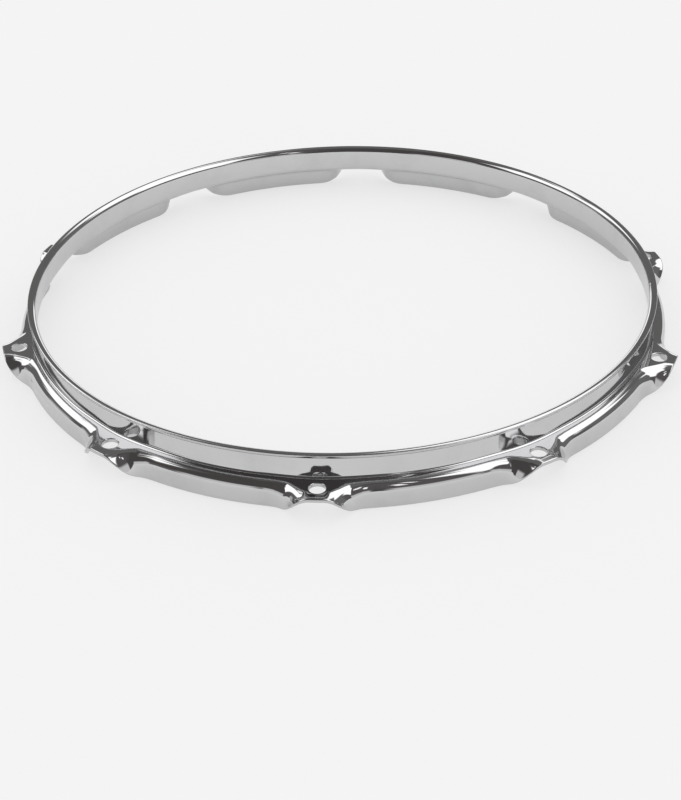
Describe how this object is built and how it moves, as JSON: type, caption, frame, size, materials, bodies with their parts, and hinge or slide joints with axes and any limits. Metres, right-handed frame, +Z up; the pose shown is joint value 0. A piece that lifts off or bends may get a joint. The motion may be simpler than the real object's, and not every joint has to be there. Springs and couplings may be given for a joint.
{
  "type": "drum hoop",
  "caption": "Pressed and chromed steel drum hoop: a turned-out rim, a flange that bears on the head, and a skirt that rises into drilled ears for the tension rods",
  "frame": {"origin": "on the ring's axis, level with the lower edge of the skirt", "axes": "+Z up along the ring's axis, from the skirt to the rim; -Y through the middle of an ear; +X through the weld, in the middle of a bay between two ears"},
  "size_m": [0.3938, 0.4094, 0.0302],
  "materials": {
    "chrome_plate": "mirror bright decorative chrome plate over buffed pressed steel",
    "plated_weld": "butt weld dressed flush and plated with the strip, with faint dressing lines"
  },
  "bodies": {
    "root": {"hoop_strip": "chrome_plate", "butt_weld": "plated_weld"}
  },
  "joints": []
}
